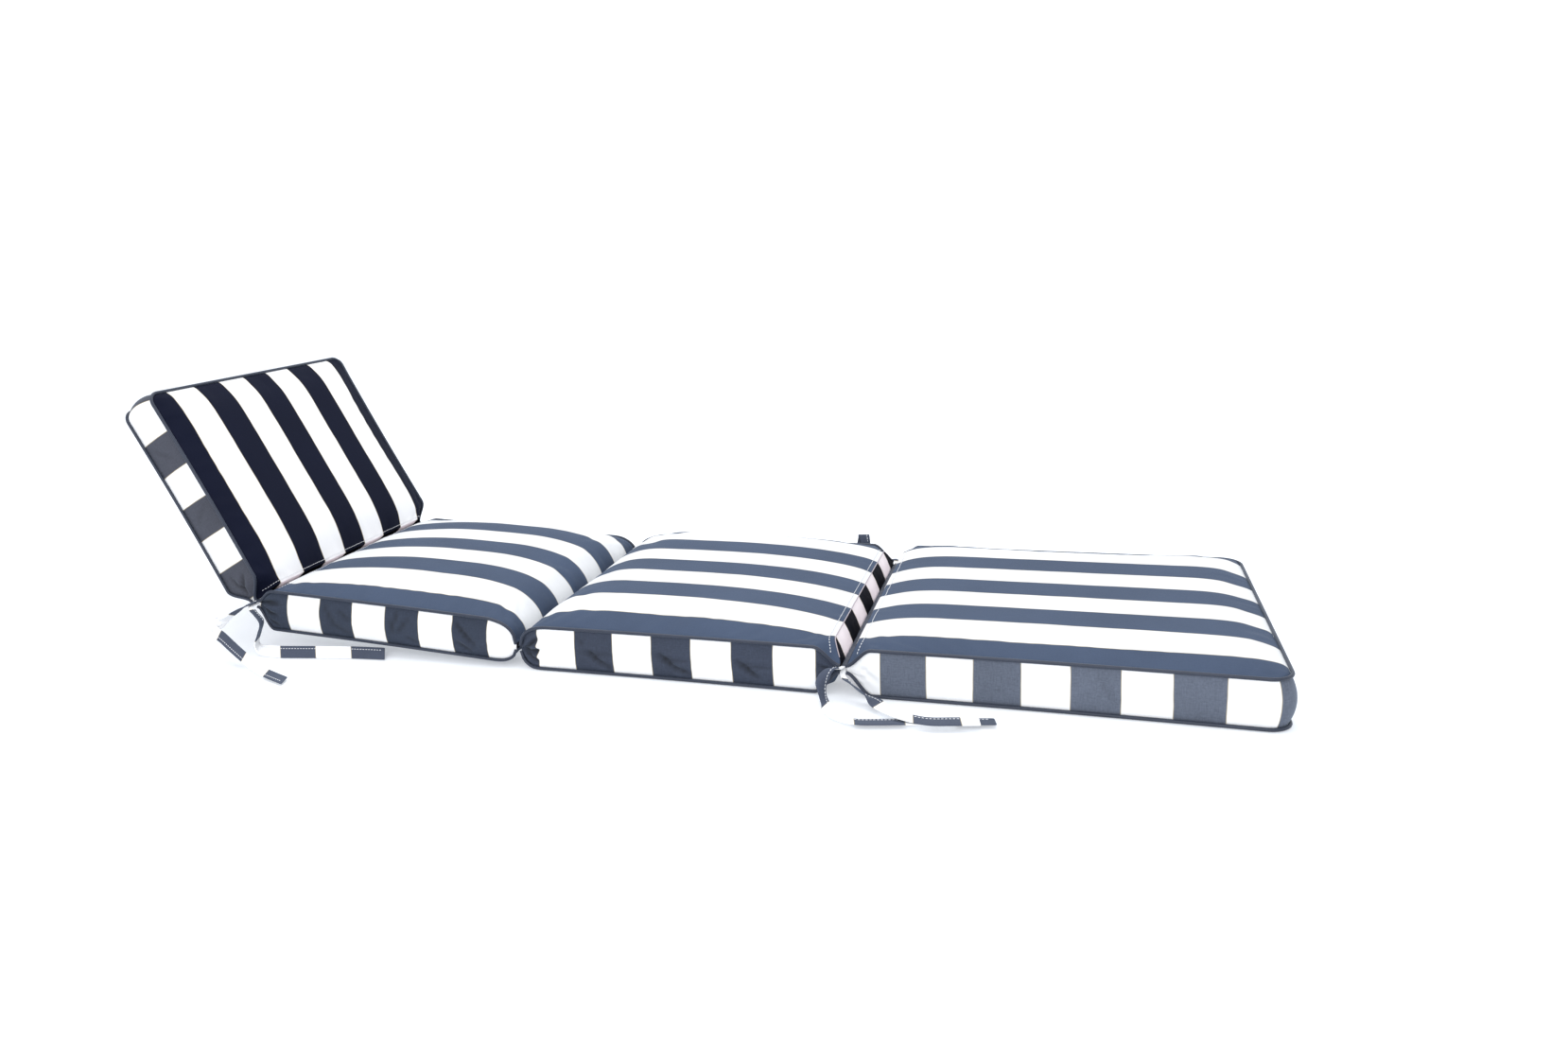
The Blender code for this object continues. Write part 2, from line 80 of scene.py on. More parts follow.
class Signal:
    """A shader socket that takes part in Python expressions."""

    def __init__(self, tree, socket):
        self.tree = tree
        self.socket = socket

    def node(self, kind, settings=None, output=0, **inputs):
        """Adds a node, with its settings first and then values or signals for its inputs."""
        made = self.tree.nodes.new(kind)
        for name, value in (settings or {}).items():
            setattr(made, name, value)
        for name, value in inputs.items():
            socket = made.inputs[int(name[1:])] if name[0] == "_" else made.inputs[name]
            if isinstance(value, Signal):
                self.tree.links.new(value.socket, socket)
            else:
                socket.default_value = value
        return Signal(self.tree, made.outputs[output])

    def maths(self, operation, *values):
        return self.node("ShaderNodeMath", {"operation": operation},
                         **{f"_{index}": value for index, value in enumerate(values)})

    def __add__(self, other):
        return self.maths("ADD", self, other)

    def __radd__(self, other):
        return self.maths("ADD", other, self)

    def __sub__(self, other):
        return self.maths("SUBTRACT", self, other)

    def __rsub__(self, other):
        return self.maths("SUBTRACT", other, self)

    def __mul__(self, other):
        return self.maths("MULTIPLY", self, other)

    def __rmul__(self, other):
        return self.maths("MULTIPLY", other, self)

    def step(self, low, high):
        """0 below low, 1 above high, and smooth between them."""
        return self.node("ShaderNodeMapRange", {"interpolation_type": "SMOOTHSTEP"},
                         Value=self, **{"From Min": low, "From Max": high})

    def noise(self, stretch, scale, detail):
        """Noise along this vector, from 0 to 1, with the vector stretched first."""
        place = self.node("ShaderNodeVectorMath", {"operation": "MULTIPLY"}, _0=self, _1=stretch)
        return self.node("ShaderNodeTexNoise", Vector=place, Scale=scale, Detail=detail)

    def tinted(self, colour):
        """A colour made lighter or darker by this signal."""
        grey = self.node("ShaderNodeCombineColor", Red=self, Green=self, Blue=self)
        return self.node("ShaderNodeMix", {"data_type": "RGBA", "blend_type": "MULTIPLY"}, output=2,
                         _0=1.0, _6=(*colour, 1.0), _7=grey)

    def mixed(self, base, tint):
        """base where this signal is 0 and tint where it is 1."""
        return self.node("ShaderNodeMix", {"data_type": "RGBA"}, output=2, _0=self, _6=base, _7=tint)


def new_finish(name, roughness, sheen, gloss=0.35):
    """A material, its shader node and its object coordinates."""
    material = bpy.data.materials.new(name)
    material.use_nodes = True
    tree = material.node_tree
    shader = tree.nodes["Principled BSDF"]
    shader.inputs["Roughness"].default_value = roughness
    shader.inputs["Sheen Weight"].default_value = sheen
    shader.inputs["Sheen Roughness"].default_value = 0.4
    shader.inputs["Sheen Tint"].default_value = (0.66, 0.82, 1.0, 1.0)
    shader.inputs["Specular IOR Level"].default_value = gloss
    place = Signal(tree, tree.nodes.new("ShaderNodeTexCoord").outputs["Object"])
    return material, shader, place


def striped_canvas(name, navy, sheen, slub, white=WHITE, border=0.75, gloss=0.35):
    """Canvas that is navy around every second stripe's middle: cos(pi * y / STRIPE) is above 0 there."""
    material, shader, place = new_finish(name, 0.8, sheen, gloss)
    tree = material.node_tree
    cloth = place.node("ShaderNodeUVMap", {"uv_map": "cloth"})
    parts = tree.nodes.new("ShaderNodeSeparateXYZ")
    tree.links.new(cloth.socket, parts.inputs[0])
    along, across = Signal(tree, parts.outputs[0]), Signal(tree, parts.outputs[1])

    drift = cloth.noise((1.0, 1.0, 1.0), 16.0, 2.0) - 0.5
    turns = (across + drift * 0.0030) * (math.pi / STRIPE)
    wave = turns.maths("COSINE", turns)
    is_navy = wave.step(-0.012, 0.012)
    is_tan = 1.0 - wave.maths("ABSOLUTE", wave).step(0.018, 0.040)

    warp_slub = cloth.noise((60.0, 1400.0, 1.0), 1.0, 1.0)
    weft_slub = cloth.noise((1400.0, 60.0, 1.0), 1.0, 1.0)
    mottle = place.noise((1.0, 1.0, 1.0), 9.0, 3.0)
    speck = cloth.noise((1.0, 1.0, 1.0), 320.0, 3.0)
    # The fold attribute is painted shade: it darkens the navy and the white wherever the boxing is creased.
    fold = place.node("ShaderNodeAttribute", {"attribute_name": "fold"}, output=2)
    yarn_tone = 1.0 - slub * 1.5 + (warp_slub + weft_slub + speck) * slub
    navy_tone = yarn_tone * (0.80 + mottle * 0.40) * (1.0 - fold * 0.8)
    white_tone = 0.985 + (warp_slub - 0.5) * 0.05 - fold * 0.12

    dyed = navy_tone.tinted(navy)
    plain = white_tone.tinted(white)
    stripes = is_navy.mixed(plain, dyed)
    bordered = (is_tan * border).mixed(stripes, (*TAN, 1.0))
    tree.links.new(bordered.socket, shader.inputs["Base Color"])

    ridge_along = along * (math.pi / YARN)
    ridge_across = across * (math.pi / YARN)
    weave = ridge_along.maths("SINE", ridge_along) * ridge_across.maths("SINE", ridge_across)
    height = weave * 0.5 + warp_slub * 0.6 + weft_slub * 0.6
    bump = place.node("ShaderNodeBump", Strength=0.35, Distance=0.0002, Height=height)
    tree.links.new(bump.socket, shader.inputs["Normal"])
    return material


# The filled pads. Each is a foam block in a boxed cover: a top and a bottom panel, and between them a strip
# of boxing that goes all round. At a hinge the boxing narrows to a lip; in the channel the panels meet.
WIDTH, THICK, RIM = 0.5104, 0.070, 0.0035
LIP_HALF, SEAM_HALF, TAPE_HALF = 0.0030, 0.0050, 0.0045
SHOULDER, BASE_SHOULDER = 0.075, 0.030
CHANNEL_REACH, CHANNEL_REACH_BELOW = 0.048, 0.026
CORNER_ALONG, CORNER_ACROSS = 0.037, 0.034
END_BULGE, END_BULGE_REACH, FAR_DROP_REACH = 0.007, 0.050, 0.045
PINCH, WAIST = 0.006, 0.003
HINGE_BLEND = 0.007
CROWN_REACH = 0.2
HEM_SLOPE = 0.6
WALL_SHARE, LIP_SHARE, WALL_FADE = 0.375, 0.125, 2.5
LEVELS = 16
FINE, COARSE = 0.0035, 0.0070

# An end's reach and power, and a pad's two shoulder powers, say how soon the crown is full behind a seam.
# far_drop says how much lower a pad's far upper seam hangs than its near one.
End = namedtuple("End", "kind lip upper_back lower_back reach power radius", defaults=(0,))
Pad = namedtuple("Pad", "name length head foot crown near_power far_power sag bulge first_mark starts_navy "
                        "seam tilt seam_at_foot far_drop", defaults=(0.0,))
FREE_END = End("free", 0, 0, 0, 0.085, 0, 0.028)
SEAM_LOW, SEAM_FOOT = (-0.2538, 0.0325), (0.2538, 0.0380)
SEAT_TILT, BACK_TILT = math.radians(3.0), math.radians(61.0)


def rise(distance, reach, power=2.3):
    """The round shoulder of a filled cover: 0 at its edge and 1 from `reach` inwards."""
    left = 1.0 - np.clip(distance / reach, 0.0, 1.0)
    return (1.0 - left ** power) ** (1.0 / power)


def fullness(distance, reach, power):
    """How full a panel is behind a hem: steep at first and then slower, and 1 from `reach` on."""
    return 1.0 - (1.0 - np.clip(distance / reach, 0.0, 1.0)) ** power


def ease(share):
    share = np.clip(share, 0.0, 1.0)
    return share * share * (3.0 - 2.0 * share)


def ends_of(pad, u):
    """Both ends of a pad, with the distance of each point from them and the way along the pad from them."""
    return ((pad.head, u, 1.0), (pad.foot, pad.length - u, -1.0))


def cover_points(pad, u, v, share, on_boxing, smaller):
    """Points of a pad's cover in its own frame. share runs from 0 at the lower seam to 1 at the upper."""
    half = WIDTH / 2
    side = half - np.abs(v)
    low, high = np.full_like(u, RIM), THICK - pad.far_drop * (v > 0) * np.exp(-side / FAR_DROP_REACH)
    for end, along, _ in ends_of(pad, u):
        if end.kind == "channel":
            dip = 1.0 - rise(along, CHANNEL_REACH, 2.0)
            dip_below = 1.0 - rise(along, CHANNEL_REACH_BELOW, 2.0)
        elif end.kind == "gusset":
            dip = dip_below = 1.0 - ease(np.hypot(side / CORNER_ACROSS, along / CORNER_ALONG))
        else:
            continue
        low = low + (end.lip - SEAM_HALF - low) * dip_below
        high = high + (end.lip + SEAM_HALF - high) * dip

    rising = np.ones_like(u)
    for end, along, _ in ends_of(pad, u):
        if end.kind == "free":
            rising = rising * rise(along, end.reach)
        else:
            behind = np.maximum(along - end.upper_back, HEM_SLOPE * along)
            rising = rising * fullness(behind, end.reach, end.power)
    power = np.where(v < 0, pad.near_power, pad.far_power)
    crown = (pad.crown - smaller) * fullness(side, CROWN_REACH, power) * rising
    if pad.sag:
        belly = -(RIM + pad.sag) * rise(side, SHOULDER) * rising
    else:
        belly = -RIM * rise(side, BASE_SHOULDER)
        for _, along, _ in ends_of(pad, u):
            belly = belly * rise(along, BASE_SHOULDER)
    height = np.where(share > 0.5, high + crown, low + belly)
    boxing = low + (high - low) * share
    shift = np.zeros_like(u)
    for end, along, sign in ends_of(pad, u):
        if end.kind == "free":
            continue
        upper = np.clip((share - (1.0 - WALL_SHARE)) / WALL_SHARE, 0.0, 1.0)
        lower = np.clip((WALL_SHARE - share) / WALL_SHARE, 0.0, 1.0)
        lip = end.lip + LIP_HALF * np.clip((share - 0.5) / LIP_SHARE, -1.0, 1.0)
        lip = lip + upper * (high - end.lip - LIP_HALF) + lower * (low - end.lip + LIP_HALF)
        boxing = boxing + (lip - boxing) * (1.0 - ease(along / HINGE_BLEND))
        for depth, part in ((end.upper_back, upper), (end.lower_back, lower)):
            if depth:
                fade = 1.0 - np.clip(along / (WALL_FADE * depth), 0.0, 1.0)
                shift = shift + sign * depth * fade * part * ease(side / CORNER_ACROSS)
    height = np.where(on_boxing, boxing, height)

    out = np.zeros((len(u), 3))
    on_side = side < np.minimum(u, pad.length - u)
    out[on_side, 1] = np.sign(v[on_side])
    out[~on_side, 0] = np.sign(u[~on_side] - pad.length / 2)
    along_x, along_y = u.copy(), v.copy()
    for end, edge, sign in ((pad.head, 0.0, -1.0), (pad.foot, pad.length, 1.0)):
        if end.kind != "free":
            continue
        radius = end.radius
        a = (u - (edge - sign * radius)) * sign / radius
        b = (np.abs(v) - (half - radius)) / radius
        turned = (a > 0) & (b > 0)
        a, b = a[turned], b[turned]
        x, y = a * np.sqrt(1 - b * b / 2), b * np.sqrt(1 - a * a / 2)
        along_x[turned] = edge - sign * radius + sign * x * radius
        along_y[turned] = np.sign(v[turned]) * (half - radius + y * radius)
        length = np.maximum(np.hypot(x, y), 1e-9)
        out[turned] = np.stack([sign * x / length, np.sign(v[turned]) * y / length, 0 * x], axis=1)

    narrow = WAIST * np.sin(math.pi * u / pad.length)
    swell = pad.bulge * 4.0 * share * (1.0 - share)
    for end, along, _ in ends_of(pad, u):
        if end.kind == "free":
            swell = swell + END_BULGE * (1.0 - ease(along / END_BULGE_REACH)) * 4.0 * share * (1.0 - share)
        else:
            narrow = narrow + PINCH * (1.0 - ease(along / CORNER_ALONG))
            swell = swell * ease(along / CORNER_ALONG)
    points = np.stack([along_x + shift, along_y * (1.0 - narrow / half), height], axis=1)
    return points + out * np.where(on_boxing, swell, 0.0)[:, None]


def placement(pad):
    """The matrix that tilts a pad and brings its hinge or channel to its seam."""
    end = pad.foot if pad.seam_at_foot else pad.head
    u = pad.length + TAPE_HALF if pad.seam_at_foot else -TAPE_HALF
    turned = Matrix.Rotation(pad.tilt, 4, "Y")
    target = Vector((pad.seam[0], 0.0, pad.seam[1]))
    return Matrix.Translation(target - turned @ Vector((u, 0.0, end.lip))) @ turned


def steps_between(length, fine_ends):
    """Distances from 0 to length, close together near both ends and wider apart in the middle."""
    near = np.arange(0.0, fine_ends, FINE)
    count = round((length - 2 * fine_ends) / COARSE)
    middle = np.linspace(fine_ends, length - fine_ends, count + 1)
    return np.concatenate([near, middle, length - near[::-1]])


def web_grid(columns, rows):
    """A flat net of unit squares, with its lowest corner at the origin."""
    bm = bmesh.new()
    bmesh.ops.create_grid(bm, x_segments=columns, y_segments=rows, size=0.5)
    bmesh.ops.translate(bm, verts=bm.verts[:], vec=(0.5, 0.5, 0.0))
    bmesh.ops.scale(bm, verts=bm.verts[:], vec=(columns, rows, 1.0))
    return bm


class Shell:
    """A pad's cover as a closed net of squares, each point known by its column, row and level."""

    def __init__(self, pad, smaller):
        self.pad = pad
        self.along = steps_between(pad.length, 0.056)
        self.across = steps_between(WIDTH, 0.021) - WIDTH / 2
        columns, rows = len(self.along) - 1, len(self.across) - 1
        bm = web_grid(columns, rows)
        caps = bm.faces[:]
        for level in range(LEVELS):
            inner = [] if level == 0 else caps
            grown = bmesh.ops.extrude_face_region(bm, geom=caps, use_keep_orig=True)["geom"]
            caps = [item for item in grown if isinstance(item, bmesh.types.BMFace)]
            moved = [item for item in grown if isinstance(item, bmesh.types.BMVert)]
            bmesh.ops.translate(bm, verts=moved, vec=(0.0, 0.0, 1.0))
            bmesh.ops.delete(bm, geom=inner, context="FACES")
        bmesh.ops.recalc_face_normals(bm, faces=bm.faces[:])
        self.mesh = bpy.data.meshes.new(pad.name + "_cover")
        bm.to_mesh(self.mesh)
        bm.free()
        index = np.zeros(len(self.mesh.vertices) * 3, np.float32)
        self.mesh.vertices.foreach_get("co", index)
        self.index = np.rint(index.reshape(-1, 3)).astype(int)
        column, row, level = self.index.T
        self.u, self.v, self.share = self.along[column], self.across[row], level / LEVELS
        self.on_boxing = (level > 0) & (level < LEVELS)
        self.matrix = placement(pad)
        self.points = self.placed(cover_points(pad, self.u, self.v, self.share, self.on_boxing, smaller))
        self.lookup = {}
        for number, key in enumerate(map(tuple, self.index)):
            self.lookup[key] = number

    def placed(self, points):
        matrix = np.array(self.matrix)
        return points @ matrix[:3, :3].T + matrix[:3, 3]

    def write(self):
        self.mesh.vertices.foreach_set("co", self.points.astype(np.float32).ravel())
        self.mesh.update()

    def lay_cloth(self):
        """Writes the cloth's own measure, in metres, as the UV map, and marks the boxing's faces."""
        corners = np.zeros(len(self.mesh.loops), np.int32)
        self.mesh.loops.foreach_get("vertex_index", corners)
        quads = self.index[corners].reshape(-1, 4, 3)
        middle = quads.mean(axis=1)
        walls = (middle[:, 2] > 0) & (middle[:, 2] < LEVELS)
        sides = walls & ((middle[:, 1] == 0) | (middle[:, 1] == len(self.across) - 1))
        u, v = self.along[quads[:, :, 0]], self.across[quads[:, :, 1]]
        height = quads[:, :, 2] / LEVELS * THICK
        phase = STRIPE / 2 if self.pad.starts_navy else -STRIPE / 2
        x = np.where(walls[:, None], height, u)
        y = np.where(sides[:, None], u - self.pad.first_mark + phase, v)
        layer = self.mesh.uv_layers.new(name="cloth")
        layer.data.foreach_set("uv", np.stack([x, y], axis=2).astype(np.float32).ravel())
        at_head = walls & (middle[:, 0] == 0) & (self.pad.head.kind != "free")
        at_foot = walls & (middle[:, 0] == len(self.along) - 1) & (self.pad.foot.kind != "free")
        self.mesh.polygons.foreach_set("material_index", walls.astype(np.int32) + (at_head | at_foot))
        self.mesh.shade_smooth()
        ends = np.zeros(len(self.mesh.edges) * 2, np.int32)
        self.mesh.edges.foreach_get("vertices", ends)
        ends = self.index[ends].reshape(-1, 2, 3)
        rim = (ends[:, :, 0] == 0) | (ends[:, :, 0] == len(self.along) - 1)
        rim |= (ends[:, :, 1] == 0) | (ends[:, :, 1] == len(self.across) - 1)
        seam = (ends[:, 0, 2] == ends[:, 1, 2]) & ((ends[:, 0, 2] == 0) | (ends[:, 0, 2] == LEVELS))
        crease = self.mesh.attributes.new("crease_edge", "FLOAT", "EDGE")
        crease.data.foreach_set("value", (seam & rim.all(axis=1)).astype(np.float32))

    def surface(self, u, v, level):
        """A point of the finished cover at a place on its top or bottom panel."""
        column = int(np.clip(np.searchsorted(self.along, u) - 1, 0, len(self.along) - 2))
        row = int(np.clip(np.searchsorted(self.across, v) - 1, 0, len(self.across) - 2))
        s = (u - self.along[column]) / (self.along[column + 1] - self.along[column])
        t = (v - self.across[row]) / (self.across[row + 1] - self.across[row])
        corners = ((0, 0), (1, 0), (0, 1), (1, 1))
        at = [self.points[self.lookup[column + i, row + j, level]] for i, j in corners]
        return (at[0] * (1 - s) + at[1] * s) * (1 - t) + (at[2] * (1 - s) + at[3] * s) * t

    def normals(self):
        self.write()
        normals = np.zeros(len(self.mesh.vertices) * 3, np.float32)
        self.mesh.vertices.foreach_get("normal", normals)
        return normals.reshape(-1, 3)


SWELL_CAP = 0.004
SIMULATED_FRAMES = 20


def fill(shell, obj):
    """Blows the cover up as foam does, with its seams held and a little spare cloth in the boxing."""
    level = shell.index[:, 2]
    rim = (shell.index[:, 0] == 0) | (shell.index[:, 0] == len(shell.along) - 1)
    rim |= (shell.index[:, 1] == 0) | (shell.index[:, 1] == len(shell.across) - 1)
    at_hinge = ((shell.index[:, 0] == 0) & (shell.pad.head.kind != "free"))
    at_hinge |= ((shell.index[:, 0] == len(shell.along) - 1) & (shell.pad.foot.kind != "free"))
    held = (rim & ((level == 0) | (level == LEVELS))) | (at_hinge & (np.abs(shell.share - 0.5) < 0.2))
    if not shell.pad.sag:
        held |= level == 0
    pins = obj.vertex_groups.new(name="held")
    pins.add(np.flatnonzero(held).tolist(), 1.0, "REPLACE")
    spare = obj.vertex_groups.new(name="spare")
    spare.add(np.flatnonzero(shell.on_boxing).tolist(), 1.0, "REPLACE")
    cloth = obj.modifiers.new("cloth", "CLOTH")
    settings = cloth.settings
    settings.quality = 5
    settings.mass = 0.3
    settings.tension_stiffness = 15.0
    settings.compression_stiffness = 5.0
    settings.shear_stiffness = 5.0
    settings.bending_stiffness = 0.6
    settings.use_pressure = True
    settings.uniform_pressure_force = 4.0
    settings.vertex_group_mass = "held"
    settings.vertex_group_shrink = "spare"
    settings.shrink_min = -0.004
    settings.shrink_max = -0.035
    settings.effector_weights.gravity = 0.0
    cloth.point_cache.frame_start = 1
    cloth.point_cache.frame_end = SIMULATED_FRAMES
    scene = bpy.context.scene
    for number in range(1, SIMULATED_FRAMES + 1):
        scene.frame_set(number)
    grown = obj.evaluated_get(bpy.context.evaluated_depsgraph_get()).to_mesh()
    moved = np.zeros(len(grown.vertices) * 3, np.float32)
    grown.vertices.foreach_get("co", moved)
    obj.modifiers.remove(cloth)
    for group in (pins, spare):
        obj.vertex_groups.remove(group)
    scene.frame_set(1)
    shift = moved.reshape(-1, 3) - shell.points
    far = np.maximum(np.linalg.norm(shift, axis=1), 1e-9)
    shell.points = shell.points + shift * (SWELL_CAP * (1 - np.exp(-far / SWELL_CAP)) / far)[:, None]


Fold = namedtuple("Fold", "start end depth width")
FOLD_DEPTH = 1.6
FOLD_RIDGE = 0.45
DARKEST_FOLD = 0.003


def press_folds(shell, near_side, folds):
    """Presses creases into the boxing of one side, and returns their depth as painted shade for the creases.

    Places are distances along the pad and shares of its height.
    """
    normals = shell.normals()
    shade = np.zeros(len(shell.u))
    on_side = shell.v < 0 if near_side else shell.v > 0
    side = WIDTH / 2 - np.abs(shell.v)
    place = np.stack([shell.u, shell.share * THICK], axis=1)
    for fold in folds:
        a = np.array([fold.start[0], fold.start[1] * THICK])
        b = np.array([fold.end[0], fold.end[1] * THICK])
        along = np.clip(((place - a) @ (b - a)) / ((b - a) @ (b - a)), 0.0, 1.0)
        away = np.linalg.norm(place - a - along[:, None] * (b - a), axis=1)
        ridge = np.exp(-((away - 2.0 * fold.width) / fold.width) ** 2)
        groove = np.exp(-(away / fold.width) ** 2) - FOLD_RIDGE * ridge
        groove = groove * np.sin(math.pi * np.clip(along * 0.9 + 0.05, 0, 1)) ** 0.6
        groove = groove * on_side * shell.on_boxing * (side < 1e-6)
        shell.points = shell.points - normals * (groove * fold.depth * FOLD_DEPTH)[:, None]
        shade = np.maximum(shade, groove * min(fold.depth / DARKEST_FOLD, 1.0))
    return shade


RIPPLE_HEIGHT, RIPPLE_REACH = 0.0007, 0.016


def ripple(shell, seed):
    """Small waves where the cloth is gathered along its seams, dying out towards the middle of each panel."""
    normals = shell.normals()
    rng = np.random.default_rng(seed)
    side = WIDTH / 2 - np.abs(shell.v)
    waves = np.zeros(len(shell.u))
    for edge, travel in ((side, shell.u), (shell.u, shell.v), (shell.pad.length - shell.u, shell.v)):
        train = sum(math.sin(seed + index) * np.sin(travel * 2 * math.pi / rng.uniform(0.020, 0.060)
                                                    + rng.uniform(0, 6.28)) for index in range(5))
        waves += train * np.exp(-edge / RIPPLE_REACH) * (1.0 - np.exp(-edge / 0.003))
    waves = np.where(shell.on_boxing, 0.0, waves) * RIPPLE_HEIGHT
    if not shell.pad.sag:
        waves = np.where(shell.share < 0.5, 0.0, waves)
    shell.points = shell.points + normals * waves[:, None]


def make_pad(pad, canvases, near_folds, far_folds):
    """Shapes one pad's cover. Its canvases are for its panels, its boxing and its hinge walls."""
    shell = Shell(pad, smaller=SWELL_CAP)
    obj = bpy.data.objects.new(pad.name + "_cover", shell.mesh)
    bpy.context.scene.collection.objects.link(obj)
    shell.write()
    shell.lay_cloth()
    for material in canvases:
        shell.mesh.materials.append(material)
    fill(shell, obj)
    ripple(shell, round(pad.length * 10000))
    # The crease depths are painted shade, kept as the fold attribute that darkens the canvas.
    shade = press_folds(shell, True, near_folds) + press_folds(shell, False, far_folds)
    crease_shade_layer = shell.mesh.attributes.new("fold", "FLOAT", "POINT")
    crease_shade_layer.data.foreach_set("value", shade.astype(np.float32))
    shell.write()
    smooth = obj.modifiers.new("smooth", "SUBSURF")
    smooth.levels = 1
    smooth.render_levels = 1
    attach(obj, "root")
    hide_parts(pad.name)
    return shell


# The foot pad lies flat at the foot end. Its free end has round corners with piping all the way round, and
# its head end is one wall of the V-shaped gap of the fold hinge. Its boxing's navy is painted light slate:
# painted light, as the foot end is the nearest to the front light.
# The flat pads' top panels share one canvas whose navy is painted light slate: painted sheen of cloth seen at
# a grazing angle. Its white is set lower than the boxing's to offset the stronger light on the tops.
PAINTED_SHEEN_NAVY, TOP_PANEL_WHITE = (0.039, 0.058, 0.101), (0.62, 0.63, 0.645)
# The hinge walls' navy is near black: painted shade for the inside of the V-shaped gap.
GAP_SHADE_NAVY, GAP_WHITE = (0.003, 0.004, 0.009), (0.77, 0.72, 0.745)
painted_sheen_canvas = striped_canvas("striped_canvas_sunned", PAINTED_SHEEN_NAVY, 0.05, 0.12, TOP_PANEL_WHITE, gloss=0.25)
hinge_shade_canvas = striped_canvas("striped_canvas_hinge", GAP_SHADE_NAVY, 0.0, 0.16, GAP_WHITE, gloss=0.1)
foot_pad = Pad("foot_pad", length=0.5556, foot=FREE_END, crown=0.0165, near_power=6.8, far_power=20.0,
               head=End("gusset", lip=0.038, upper_back=0.0125, lower_back=0.017, reach=0.120, power=3.0),
               sag=0.0, bulge=0.002, first_mark=0.0484, starts_navy=False,
               seam=SEAM_FOOT, tilt=0.0, seam_at_foot=False)
foot_boxing = striped_canvas("striped_canvas_foot_boxing", (0.085, 0.100, 0.135), 0.15, 0.55)
foot_shell = make_pad(foot_pad, [painted_sheen_canvas, foot_boxing, hinge_shade_canvas], [
    Fold((0.020, 0.62), (0.046, 0.30), 0.0016, 0.0035), Fold((0.016, 0.40), (0.040, 0.75), 0.0012, 0.0030),
    Fold((0.012, 0.20), (0.032, 0.45), 0.0014, 0.0030),
    Fold((0.330, 0.85), (0.352, 0.20), 0.0006, 0.0050), Fold((0.500, 0.15), (0.530, 0.80), 0.0007, 0.0050),
], [
    Fold((0.020, 0.60), (0.048, 0.25), 0.0016, 0.0035), Fold((0.400, 0.20), (0.430, 0.80), 0.0008, 0.0050),
])


# The leg pad lies flat too, and is the fullest where the knees rest. It runs from the sewn channel to the
# fold hinge, and has a deep star of creases in the boxing where the channel draws the cover down.
leg_pad = Pad("leg_pad", length=0.4986, crown=0.0269, near_power=7.0, far_power=18.0,
              head=End("channel", lip=0.0325, upper_back=0, lower_back=0, reach=0.120, power=2.0),
              foot=End("gusset", lip=0.038, upper_back=0.0125, lower_back=0.015, reach=0.340, power=3.1),
              sag=0.0, bulge=0.003, first_mark=0.0313, starts_navy=True,
              seam=SEAM_LOW, tilt=0.0, seam_at_foot=False)
# The leg pad's boxing navy is painted darker than the foot pad's: painted shade, as it lies further from the
# front light.
leg_boxing = striped_canvas("striped_canvas_leg_boxing", (0.026, 0.034, 0.056), 0.12, 0.55)
leg_shell = make_pad(leg_pad, [painted_sheen_canvas, leg_boxing, hinge_shade_canvas], [
    Fold((0.003, 0.44), (0.042, 0.42), 0.0060, 0.0042), Fold((0.006, 0.50), (0.032, 0.74), 0.0042, 0.0042),
    Fold((0.008, 0.38), (0.032, 0.16), 0.0042, 0.0040), Fold((0.034, 0.30), (0.056, 0.12), 0.0020, 0.0034),
    Fold((0.097, 0.48), (0.152, 0.45), 0.0014, 0.0032), Fold((0.114, 0.52), (0.137, 0.20), 0.0042, 0.0044),
    Fold((0.098, 0.84), (0.108, 0.62), 0.0016, 0.0036), Fold((0.137, 0.26), (0.150, 0.12), 0.0022, 0.0036),
    Fold((0.221, 0.48), (0.276, 0.44), 0.0014, 0.0032), Fold((0.229, 0.58), (0.256, 0.20), 0.0042, 0.0044),
    Fold((0.254, 0.28), (0.276, 0.13), 0.0026, 0.0038), Fold((0.345, 0.48), (0.400, 0.44), 0.0014, 0.0032),
    Fold((0.350, 0.54), (0.380, 0.18), 0.0040, 0.0042), Fold((0.468, 0.62), (0.490, 0.44), 0.0020, 0.0036),
], [
    Fold((0.012, 0.50), (0.036, 0.60), 0.0030, 0.0036), Fold((0.180, 0.85), (0.205, 0.30), 0.0012, 0.0045),
    Fold((0.440, 0.30), (0.478, 0.55), 0.0016, 0.0040),
])


